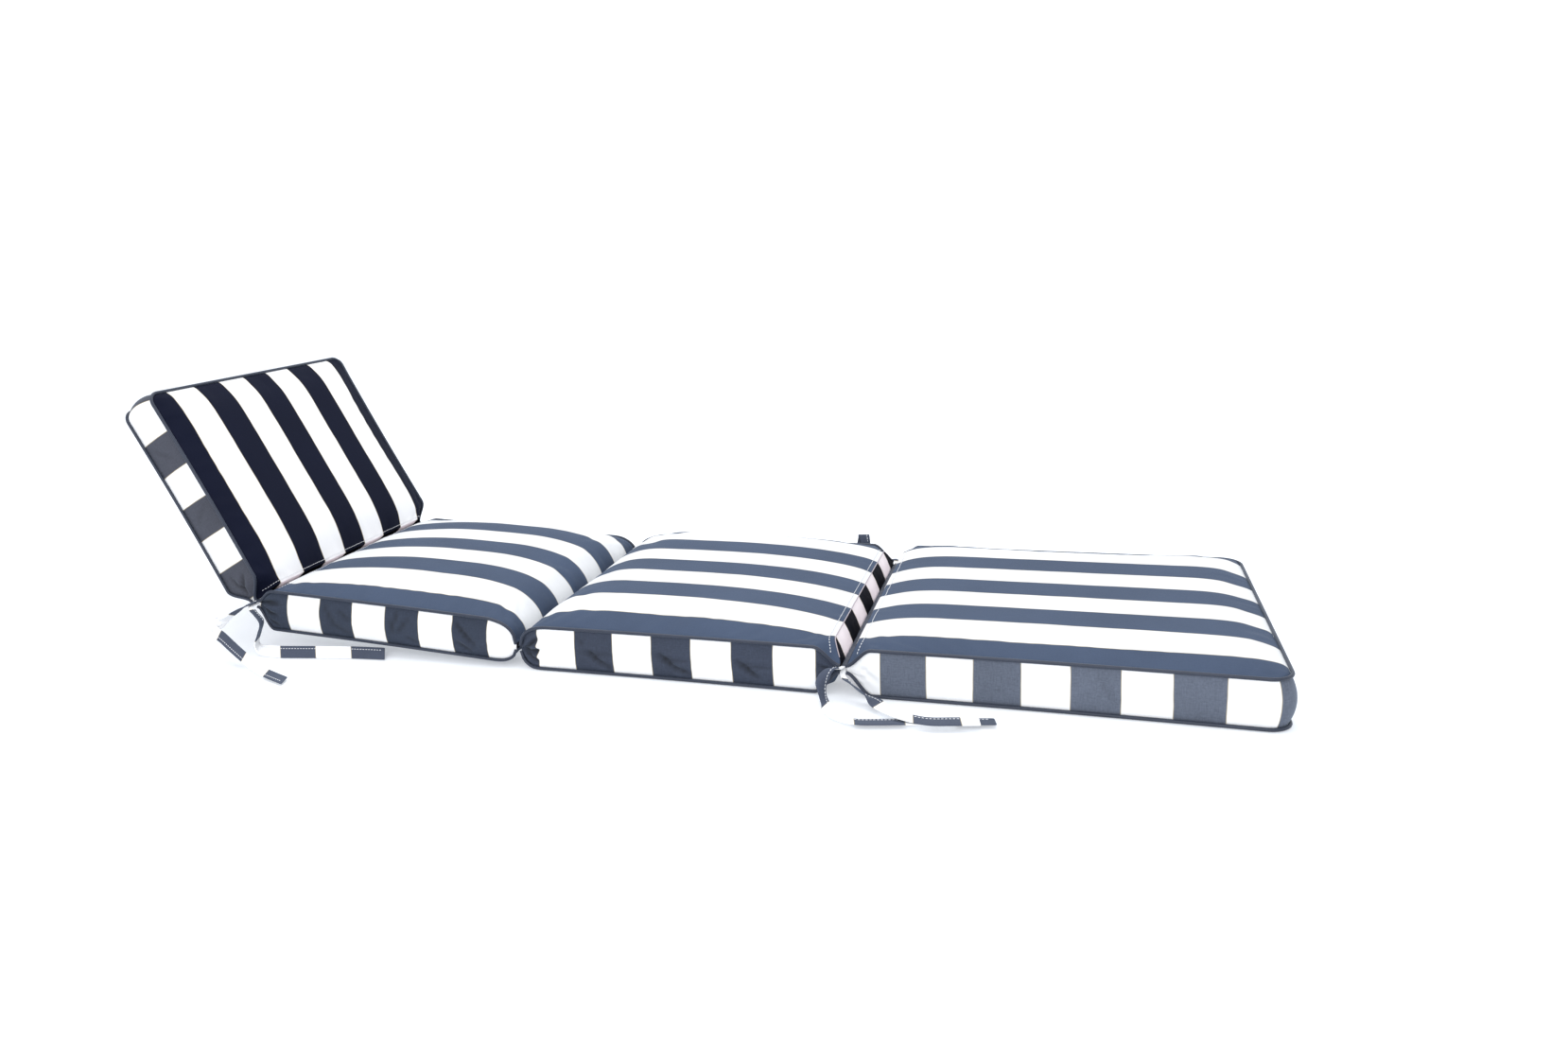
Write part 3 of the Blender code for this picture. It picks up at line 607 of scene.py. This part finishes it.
# The seat pad is the deepest. Its head end is raised a little by the back pad, and its underside sags to the
# ground near the sewn channel. Its boxing bellies out and is creased across, and its far seam hangs lower.
seat_pad = Pad("seat_pad", length=0.4845, crown=0.0294, near_power=4.3, far_power=4.0,
               head=End("gusset", lip=0.0425, upper_back=0.033, lower_back=0.022, reach=0.227, power=2.0),
               foot=End("channel", lip=0.0265, upper_back=0, lower_back=0, reach=0.158, power=2.0),
               sag=0.008, bulge=0.007, first_mark=0.0672, starts_navy=True,
               seam=SEAM_LOW, tilt=SEAT_TILT, seam_at_foot=True, far_drop=0.012)
# The seat pad's boxing navy is painted darker still: painted shade, as it is the furthest of the flat pads
# from the front light.
seat_boxing = striped_canvas("striped_canvas_seat_boxing", (0.020, 0.028, 0.048), 0.12, 0.55)
seat_shell = make_pad(seat_pad, [painted_sheen_canvas, seat_boxing, hinge_shade_canvas], [
    Fold((0.006, 0.76), (0.050, 0.70), 0.0042, 0.0042), Fold((0.006, 0.54), (0.046, 0.40), 0.0034, 0.0040),
    Fold((0.010, 0.40), (0.044, 0.14), 0.0028, 0.0040),
    Fold((0.136, 0.84), (0.160, 0.30), 0.0018, 0.0046), Fold((0.164, 0.74), (0.186, 0.50), 0.0016, 0.0040),
    Fold((0.150, 0.36), (0.182, 0.16), 0.0014, 0.0040),
    Fold((0.262, 0.30), (0.276, 0.86), 0.0022, 0.0044), Fold((0.276, 0.34), (0.296, 0.74), 0.0020, 0.0042),
    Fold((0.292, 0.28), (0.312, 0.16), 0.0016, 0.0040),
    Fold((0.380, 0.84), (0.416, 0.30), 0.0028, 0.0044), Fold((0.384, 0.34), (0.408, 0.14), 0.0022, 0.0042),
    Fold((0.440, 0.35), (0.476, 0.50), 0.0026, 0.0038), Fold((0.446, 0.62), (0.474, 0.54), 0.0018, 0.0036),
], [
    Fold((0.012, 0.60), (0.048, 0.35), 0.0026, 0.0036), Fold((0.300, 0.30), (0.330, 0.80), 0.0012, 0.0045),
    Fold((0.440, 0.60), (0.472, 0.45), 0.0024, 0.0034),
])


# The back pad stands up from its hinge. Its canvas's navy is painted near black, as painted shade of its
# upright face, with soft folds low down on the near edge where the cover gathers into the hinge.
PAINTED_SHADE_NAVY, DARK_WHITE = (0.0030, 0.0046, 0.0150), (0.73, 0.735, 0.75)
seam_back = seat_shell.matrix @ Vector((-TAPE_HALF, 0.0, seat_pad.head.lip))
back_pad = Pad("back_pad", length=0.3832, crown=0.017, near_power=8.0, far_power=8.0,
               head=FREE_END._replace(radius=0.018),
               foot=End("gusset", lip=0.037, upper_back=0.006, lower_back=0.017, reach=0.100, power=3.0),
               sag=0.006, bulge=0.003, first_mark=0.0655, starts_navy=False,
               seam=(seam_back.x, seam_back.z), tilt=BACK_TILT, seam_at_foot=True)
dark_canvas = striped_canvas("striped_canvas_dark", PAINTED_SHADE_NAVY, 0.02, 0.14, DARK_WHITE, border=0.9, gloss=0.10)
# The back pad's boxing navy is its own lighter grey copy: painted light for how the back pad's sides are lit.
back_boxing = striped_canvas("striped_canvas_back_boxing", (0.045, 0.048, 0.064), 0.15, 0.40, border=0.9)
back_shell = make_pad(back_pad, [dark_canvas, back_boxing, hinge_shade_canvas], [
    Fold((0.335, 0.70), (0.368, 0.40), 0.0026, 0.0038), Fold((0.330, 0.30), (0.366, 0.52), 0.0020, 0.0036),
    Fold((0.200, 0.80), (0.224, 0.25), 0.0008, 0.0050), Fold((0.080, 0.20), (0.110, 0.70), 0.0008, 0.0050),
], [
    Fold((0.335, 0.60), (0.368, 0.40), 0.0022, 0.0036), Fold((0.150, 0.20), (0.180, 0.75), 0.0008, 0.0050),
])


# The piping: a cord in a bias strip of navy canvas, sewn into every long seam and round the free ends. It
# runs on into the hinges, where the upper and the lower piping cross.
PIPE_RADIUS = 0.0025
PIPE_OUT = 0.0029


def piping_canvas():
    material, shader, place = new_finish("piping_canvas", 0.55, 0.15)
    shader.inputs["Coat Weight"].default_value = 0.15
    shader.inputs["Coat Roughness"].default_value = 0.35
    tree = material.node_tree
    gather = place.noise((1.0, 1.0, 1.0), 260.0, 2.0)
    fade = place.noise((1.0, 1.0, 1.0), 24.0, 2.0)
    colour = (fade * 0.6 + gather * 0.3).mixed((0.009, 0.013, 0.026, 1.0), (0.024, 0.032, 0.056, 1.0))
    tree.links.new(colour.socket, shader.inputs["Base Color"])
    bump = place.node("ShaderNodeBump", Strength=0.3, Distance=0.0004, Height=gather)
    tree.links.new(bump.socket, shader.inputs["Normal"])
    return material


def seam_stations(shell, sign):
    """Grid places along one side of a pad between its hinges, or right round its free end."""
    columns = range(len(shell.along))
    last_column, last_row = len(shell.along) - 1, len(shell.across) - 1
    near = [(column, 0) for column in columns]
    far = [(column, last_row) for column in columns]
    if shell.pad.head.kind == "free":
        end = [(0, row) for row in range(1, last_row)]
        return near[::-1] + end + far
    if shell.pad.foot.kind == "free":
        end = [(last_column, row) for row in range(1, last_row)]
        return near + end + far[::-1]
    return near if sign < 0 else far


def make_piping(name, shell, level, sign=-1):
    stations = seam_stations(shell, sign)
    points = np.array([shell.points[shell.lookup[column, row, level]] for column, row in stations])
    ahead = np.gradient(points, axis=0)
    ahead /= np.linalg.norm(ahead, axis=1)[:, None]
    top = np.array((shell.matrix.to_3x3() @ Vector((0, 0, 1))))
    outward = np.cross(ahead, top)
    outward /= np.linalg.norm(outward, axis=1)[:, None]
    flip = np.sign(((points - shell.points.mean(axis=0)) * outward).sum(axis=1))
    points = points + outward * (flip * PIPE_OUT)[:, None]
    curve = bpy.data.curves.new(name, "CURVE")
    curve.dimensions = "3D"
    curve.bevel_depth = PIPE_RADIUS
    curve.bevel_resolution = 3
    curve.use_fill_caps = True
    curve.materials.append(pipe_material)
    spline = curve.splines.new("POLY")
    spline.points.add(len(points) - 1)
    spline.points.foreach_set("co", np.c_[points, np.ones(len(points))].astype(np.float32).ravel())
    obj = bpy.data.objects.new(name + "_cord", curve)
    bpy.context.scene.collection.objects.link(obj)
    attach(obj, "root")
    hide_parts(name)


pipe_material = piping_canvas()
for kind, shell in (("back", back_shell), ("foot", foot_shell)):
    make_piping(f"piping_{kind}_upper", shell, LEVELS)
    make_piping(f"piping_{kind}_lower", shell, 0)
for kind, shell in (("seat", seat_shell), ("leg", leg_shell)):
    for sign, side in ((-1, "near"), (1, "far")):
        make_piping(f"piping_{kind}_upper_{side}", shell, LEVELS, sign)
        make_piping(f"piping_{kind}_lower_{side}", shell, 0, sign)


# The hinges and the channel: a doubled strip of navy canvas sewn between the lips of two pads, with a slight
# wave where the needle draws it in.
STRIP_HALF_LENGTH = WIDTH / 2 - PINCH - 0.003
STRIP_STEPS = 90


def as_web(bm, name, material, thickness):
    """Turns a net into doubled cloth that rides on the cushion and stands for its own solid."""
    bmesh.ops.recalc_face_normals(bm, faces=bm.faces[:])
    mesh = bpy.data.meshes.new(name + "_web")
    bm.to_mesh(mesh)
    bm.free()
    mesh.shade_smooth()
    mesh.materials.append(material)
    obj = bpy.data.objects.new(name + "_web", mesh)
    bpy.context.scene.collection.objects.link(obj)
    doubled = obj.modifiers.new("doubled", "SOLIDIFY")
    doubled.thickness = thickness
    doubled.offset = 0.0
    smooth = obj.modifiers.new("smooth", "SUBSURF")
    smooth.levels = 1
    smooth.render_levels = 1
    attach(obj, "root")
    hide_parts(name)
    return obj


def make_hinge_strip(name, seam, tilts):
    """A strip bent along the seam where two pads meet, its edges just short of their lips."""
    head, foot = (Vector((math.cos(tilt), 0, -math.sin(tilt))) for tilt in tilts)
    middle = Vector((seam[0], -STRIP_HALF_LENGTH, seam[1]))
    reach = TAPE_HALF - 0.0003
    bm = web_grid(4, STRIP_STEPS)
    for vert in bm.verts:
        column, row = round(vert.co.x) - 2, round(vert.co.y)
        side = head if column < 0 else foot
        place = middle + side * reach * column / 2
        wave = 0.0003 * math.sin(row * 1.7)
        vert.co = place + Vector((0.0, 2 * STRIP_HALF_LENGTH * row / STRIP_STEPS, wave))
    as_web(bm, name, pipe_material, 0.0028)


make_hinge_strip("hinge_tape_back", back_pad.seam, (BACK_TILT, SEAT_TILT))
make_hinge_strip("channel_strip", SEAM_LOW, (SEAT_TILT, 0.0))
make_hinge_strip("hinge_tape_foot", SEAM_FOOT, (0.0, 0.0))


# The topstitching: pale thread in long stitches that holds each panel's hem down along a fold hinge, and on
# the leg pad a raised edge of folded canvas along the hem itself.
STITCH, STITCH_GAP, THREAD_HALF = 0.0040, 0.0010, 0.0006
HEM_IN, BACK_HEM_IN = 0.0080, 0.0048
THREAD = (0.74, 0.75, 0.78)


def thread_finish(name, colour):
    material, shader, place = new_finish(name, 0.6, 0.2)
    twist = place.noise((1.0, 1.0, 1.0), 900.0, 1.0)
    tint = twist.mixed((*[part * 0.75 for part in colour], 1.0), (*colour, 1.0))
    material.node_tree.links.new(tint.socket, shader.inputs["Base Color"])
    return material


def add_stitches(bm, route):
    """Lays stitches along a close-set route of points, with a gap after each."""
    route = np.array(route)
    along = np.concatenate([[0], np.cumsum(np.linalg.norm(np.diff(route, axis=0), axis=1))])
    place = 0.0
    while place + STITCH < along[-1]:
        a, b = (Vector([np.interp(at, along, route[:, axis]) for axis in range(3)])
                for at in (place, place + STITCH))
        ball = bmesh.ops.create_icosphere(bm, subdivisions=1, radius=1.0)["verts"]
        turned = (b - a).to_track_quat("X", "Z").to_matrix().to_4x4()
        sized = Matrix.Diagonal(((b - a).length * 0.55, THREAD_HALF * 1.15, THREAD_HALF, 1.0))
        bmesh.ops.transform(bm, matrix=Matrix.Translation((a + b) / 2) @ turned @ sized, verts=ball)
        place += STITCH + STITCH_GAP


def as_piece(bm, name, material):
    bmesh.ops.recalc_face_normals(bm, faces=bm.faces[:])
    mesh = bpy.data.meshes.new(name)
    bm.to_mesh(mesh)
    bm.free()
    mesh.shade_smooth()
    mesh.materials.append(material)
    obj = bpy.data.objects.new(name, mesh)
    bpy.context.scene.collection.objects.link(obj)
    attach(obj, "root")
    return obj


def make_hem_stitches(name, shell, at_foot, distance):
    up = np.array(shell.matrix.to_3x3() @ Vector((0, 0, 1)))
    along = distance / HEM_SLOPE
    u = shell.pad.length - along if at_foot else along
    places = np.arange(-WIDTH / 2 + 0.010, WIDTH / 2 - 0.010, 0.003)
    route = [shell.surface(u, v, LEVELS) + up * 0.0005 for v in places]
    bm = bmesh.new()
    add_stitches(bm, route)
    as_piece(bm, name, pale_thread)


def make_hem_edge(name, shell):
    """The folded edge of the hem at a pad's foot end, which stands up a little along the gap of the hinge."""
    column = len(shell.along) - 1
    up = np.array(shell.matrix.to_3x3() @ Vector((0, 0, 1)))
    rows = range(3, len(shell.across) - 3)
    points = np.array([shell.points[shell.lookup[column, row, LEVELS]] + up * 0.0005 for row in rows])
    curve = bpy.data.curves.new(name, "CURVE")
    curve.dimensions = "3D"
    curve.bevel_depth = 0.0008
    curve.bevel_resolution = 2
    curve.use_fill_caps = True
    curve.materials.append(hem_thread)
    spline = curve.splines.new("POLY")
    spline.points.add(len(points) - 1)
    spline.points.foreach_set("co", np.c_[points, np.ones(len(points))].astype(np.float32).ravel())
    obj = bpy.data.objects.new(name, curve)
    bpy.context.scene.collection.objects.link(obj)
    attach(obj, "root")


pale_thread = thread_finish("pale_thread", THREAD)
hem_thread = thread_finish("hem_thread", (0.42, 0.36, 0.39))
make_hem_stitches("stitches_back_hem", back_shell, True, BACK_HEM_IN)
make_hem_stitches("stitches_seat_hem", seat_shell, False, HEM_IN)
make_hem_stitches("stitches_leg_hem", leg_shell, True, HEM_IN)
make_hem_stitches("stitches_foot_hem", foot_shell, False, HEM_IN)
make_hem_edge("hem_edge_leg", leg_shell)


# The ties: doubled strips of the striped canvas, topstitched near one edge and caught into the ends of the
# hinge strips. Each has its first change to navy, how far its slanting cut stretches the stripes, the side
# its stitches are on, and rows of x, y and z, the way across and the width, in mm.
TIE_THICK, TIE_WIDTH = 0.0018, 0.024
TIE_CLEAR, TIE_APART = 0.0006, 0.0016
TIE_STEPS = 90
TIES = {
    "tie_back_near_1": (0.125, 1.17, -0.5, [
        (-747, -264, 77, 1.0, -0.1, 0.1, 8), (-764, -274, 68, 0.2, -0.9, 0.5, 12),
        (-787, -281, 54, -0.2, -0.9, 0.4, 18), (-797, -294, 46, -0.3, 0.85, 0.4, 24),
        (-783, -310, 43, -0.3, 0.89, 0.35, 24), (-757, -322, 38, -0.3, 0.89, 0.35, 24),
        (-728, -332, 26, -0.3, 0.9, 0.3, 24), (-700, -341, 15, -0.3, 0.92, 0.25, 24),
        (-672, -353, 9, -0.28, 0.95, 0.12, 24), (-643, -366, 6, -0.26, 0.96, 0.07, 24),
        (-590, -385, 4.5, -0.26, 0.96, 0.05, 24)]),
    "tie_back_near_2": (0.029, 1.0, 0.5, [
        (-746, -264, 72.5, 1.0, 0.1, 0.0, 8), (-728, -275, 66, -0.1, 0.9, 0.0, 12),
        (-712, -281, 54, -0.35, 0.93, 0.0, 20), (-716, -285, 36, -0.4, 0.92, 0.0, 24),
        (-722, -287, 19, -0.35, 0.92, 0.1, 24), (-714, -289, 9.5, -0.4, 0.75, 0.4, 24),
        (-694, -290, 8.5, -0.45, 0.65, 0.55, 24), (-672, -290, 8.5, -0.45, 0.65, 0.55, 24),
        (-622, -281, 8.5, -0.45, 0.65, 0.55, 24), (-552, -269, 8.5, -0.45, 0.65, 0.55, 24),
        (-491, -263, 8.5, -0.4, 0.7, 0.5, 24)]),
    "tie_foot_near_1": (0.026, 1.06, 0.5, [
        (250, -264, 43, 1.0, 0.0, 0.0, 8), (241, -273, 46, 0.9, -0.2, 0.3, 20),
        (232, -278, 36, 0.9, 0.3, 0.3, 22), (230, -282, 22, 0.35, 0.93, 0.0, 24),
        (234, -291, 9, 0.1, 0.97, 0.1, 24), (243, -312, 5, 0.3, 0.9, 0.0, 24),
        (262, -336, 5, 0.0, 0.99, -0.1, 24), (287, -345, 5, -0.2, 0.97, -0.13, 24),
        (317, -340, 5, -0.23, 0.97, -0.13, 24), (346, -333, 5, -0.23, 0.97, -0.13, 24),
        (404, -320, 5, -0.2, 0.97, -0.1, 24), (464, -307, 5, -0.2, 0.97, -0.1, 24)]),
    "tie_foot_near_2": (0.025, 1.0, 0.5, [
        (256, -264, 33, 1.0, 0.1, -0.1, 8), (270, -275, 26, 0.1, 0.8, -0.55, 16),
        (288, -282, 17, -0.1, 0.85, -0.5, 22), (304, -291, 11, 0.4, 0.85, 0.0, 24),
        (316, -303, 10, 0.4, 0.9, 0.0, 24), (332, -318, 10, 0.0, 0.99, 0.0, 24),
        (354, -329, 10, -0.1, 0.98, 0.0, 24), (381, -335, 10, -0.2, 0.97, 0.0, 24),
        (412, -329, 10, -0.2, 0.97, 0.0, 24), (445, -321, 10, -0.2, 0.97, 0.0, 24)]),
    "tie_back_far_1": (0.102, 1.0, 0.5, [
        (-747, 264, 76, 1.0, 0.1, 0.0, 8), (-755, 276, 58, 0.95, 0.2, 0.0, 18),
        (-760, 284, 32, 0.95, 0.2, 0.0, 24), (-758, 294, 9, 0.95, 0.2, 0.0, 24),
        (-748, 315, 4, 0.9, -0.4, 0.1, 24), (-728, 347, 4, 0.85, -0.5, 0.1, 24),
        (-700, 385, 4, 0.85, -0.5, 0.1, 24)]),
    "tie_back_far_2": (0.025, 1.0, 0.5, [
        (-745, 264, 71, 1.0, -0.1, 0.0, 8), (-727, 278, 52, 0.9, -0.4, 0.0, 16),
        (-716, 286, 28, 0.85, -0.5, 0.0, 24), (-704, 295, 8, 0.8, -0.6, 0.0, 24),
        (-684, 309, 4, 0.5, -0.85, 0.1, 24), (-640, 326, 4, 0.3, -0.95, 0.1, 24),
        (-575, 340, 4, 0.15, -0.98, 0.1, 24)]),
    "tie_foot_far_1": (0.010, 3.0, 0.5, [
        (251, 264, 42, 0.95, 0.2, 0.0, 8), (240, 272, 38, 0.2, 0.95, 0.0, 10),
        (226, 277, 37, 0.2, 0.95, 0.0, 12), (210, 280, 42, 0.1, 0.98, -0.1, 12),
        (197, 280, 50, 0.8, 0.6, 0.0, 14), (193, 278, 72, 0.97, 0.2, 0.0, 18),
        (190, 281, 82, 0.97, 0.2, 0.0, 20), (187, 286, 72, 0.97, 0.2, 0.0, 18),
        (180, 289, 50, 0.6, 0.8, 0.0, 18),
        (171, 291, 28, -0.7, 0.7, 0.0, 24), (168, 302, 8, -0.9, 0.3, 0.0, 24),
        (160, 327, 4, -0.95, -0.2, 0.1, 24), (148, 365, 4, -0.95, -0.3, 0.1, 24)]),
    "tie_foot_far_2": (0.030, 1.0, 0.5, [
        (256, 264, 34, 1.0, -0.1, 0.0, 8), (271, 277, 22, 0.8, -0.6, 0.0, 16),
        (286, 287, 9, 0.7, -0.7, 0.0, 24), (308, 301, 4.5, 0.5, -0.85, 0.1, 24),
        (345, 315, 4, 0.25, -0.95, 0.1, 24), (395, 325, 4, 0.1, -0.98, 0.1, 24),
        (440, 330, 4, 0.1, -0.98, 0.1, 24)]),
}
tie_canvas = striped_canvas("striped_canvas_tie", (0.045, 0.055, 0.085), 0.15, 0.16)


def smooth_rows(rows, steps):
    """Rows read off a smooth curve through the given ones."""
    last = len(rows) - 1
    result = []
    for step in range(steps + 1):
        place = step / steps * last
        index = min(int(place), last - 1)
        t = place - index
        near = [rows[min(max(index + offset, 0), last)] for offset in (-1, 0, 1, 2)]
        result.append([0.5 * (2 * b + (c - a) * t + (2 * a - 5 * b + 4 * c - d) * t * t
                              + (3 * b - a - 3 * c + d) * t ** 3) for a, b, c, d in zip(*near)])
    return result


def make_tie(name, seam, first_mark, slant, stitch_side, rows):
    near, upper = "near" in name, name.endswith("1")
    root_y = (STRIP_HALF_LENGTH + TIE_CLEAR) * (-1 if near else 1)
    root_z = seam[1] + TIE_APART * (1 if upper else -1)
    root = (seam[0] * 1000, root_y * 1000, root_z * 1000, 1.0, 0.0, 0.0, 6)
    route = smooth_rows([root, *rows], TIE_STEPS)
    middles = [Vector(row[:3]) / 1000 for row in route]
    reaches = [Vector(row[3:6]).normalized() * row[6] / 2000 for row in route]
    gone = [0.0]
    for before, after in zip(middles, middles[1:]):
        gone.append(gone[-1] + (after - before).length)
    columns = (-1.0, -0.88, -0.45, 0.0, 0.45, 0.88, 1.0)
    bm = web_grid(TIE_STEPS, len(columns) - 1)
    cloth = bm.loops.layers.uv.new("cloth")
    for face in bm.faces:
        for loop in face.loops:
            step, column = round(loop.vert.co.x), round(loop.vert.co.y)
            loop[cloth].uv = (columns[column] * TIE_WIDTH / 2, (gone[step] - first_mark) / slant - STRIPE / 2)
    for vert in bm.verts:
        step, column = round(vert.co.x), round(vert.co.y)
        vert.co = middles[step] + reaches[step] * columns[column]
    tie = as_web(bm, name, tie_canvas, TIE_THICK)
    stitches = bmesh.new()
    route = []
    for index in range(6, len(middles) - 1):
        ahead = (middles[index + 1] - middles[index - 1]).normalized()
        face = ahead.cross(reaches[index]).normalized()
        face = face if face.z > 0 else -face
        route.append(middles[index] + reaches[index] * stitch_side + face * (TIE_THICK / 2 + 0.0003))
    add_stitches(stitches, route)
    thread = as_piece(stitches, name + "_stitches", pale_thread)


for name, (first_mark, slant, stitch_side, rows) in TIES.items():
    seam = back_pad.seam if name.startswith("tie_back") else SEAM_FOOT
    make_tie(name, seam, first_mark, slant, stitch_side, rows)


# The studio: a plain pale floor that the flat pads lie on, with a little light of its own so that it comes
# out white, broad soft light from above and in front, and a pale surround.
floor_mesh = bpy.data.meshes.new("floor")
floor_bm = bmesh.new()
bmesh.ops.create_grid(floor_bm, x_segments=2, y_segments=2, size=30.0)
floor_bm.to_mesh(floor_mesh)
floor_bm.free()
floor = bpy.data.objects.new("floor", floor_mesh)
bpy.context.scene.collection.objects.link(floor)
floor_material = bpy.data.materials.new("floor")
floor_material.use_nodes = True
floor_shader = floor_material.node_tree.nodes["Principled BSDF"]
floor_shader.inputs["Base Color"].default_value = (0.60, 0.62, 0.65, 1.0)
floor_shader.inputs["Roughness"].default_value = 0.9
floor_shader.inputs["Specular IOR Level"].default_value = 0.1
floor_shader.inputs["Emission Color"].default_value = (0.93, 0.96, 1.0, 1.0)
floor_shader.inputs["Emission Strength"].default_value = 0.40
floor_mesh.materials.append(floor_material)

world = bpy.data.worlds.new("surround")
world.use_nodes = True
world.node_tree.nodes["Background"].inputs["Color"].default_value = (0.95, 0.97, 1.0, 1.0)
world.node_tree.nodes["Background"].inputs["Strength"].default_value = 1.15
bpy.context.scene.world = world


def add_softbox(name, place, target, size, power):
    light = bpy.data.lights.new(name, "AREA")
    light.shape = "SQUARE"
    light.size = size
    light.energy = power
    obj = bpy.data.objects.new(name, light)
    direction = Vector(target) - Vector(place)
    obj.matrix_world = Matrix.Translation(place) @ direction.to_track_quat("-Z", "Y").to_matrix().to_4x4()
    bpy.context.scene.collection.objects.link(obj)


add_softbox("softbox_above", (-0.3, 0.6, 3.2), (-0.1, 0.0, 0.0), 3.0, 70.0)
add_softbox("softbox_front", (0.6, -3.6, 1.9), (-0.1, 0.0, 0.1), 2.4, 70.0)
bpy.context.scene.view_settings.view_transform = "Standard"
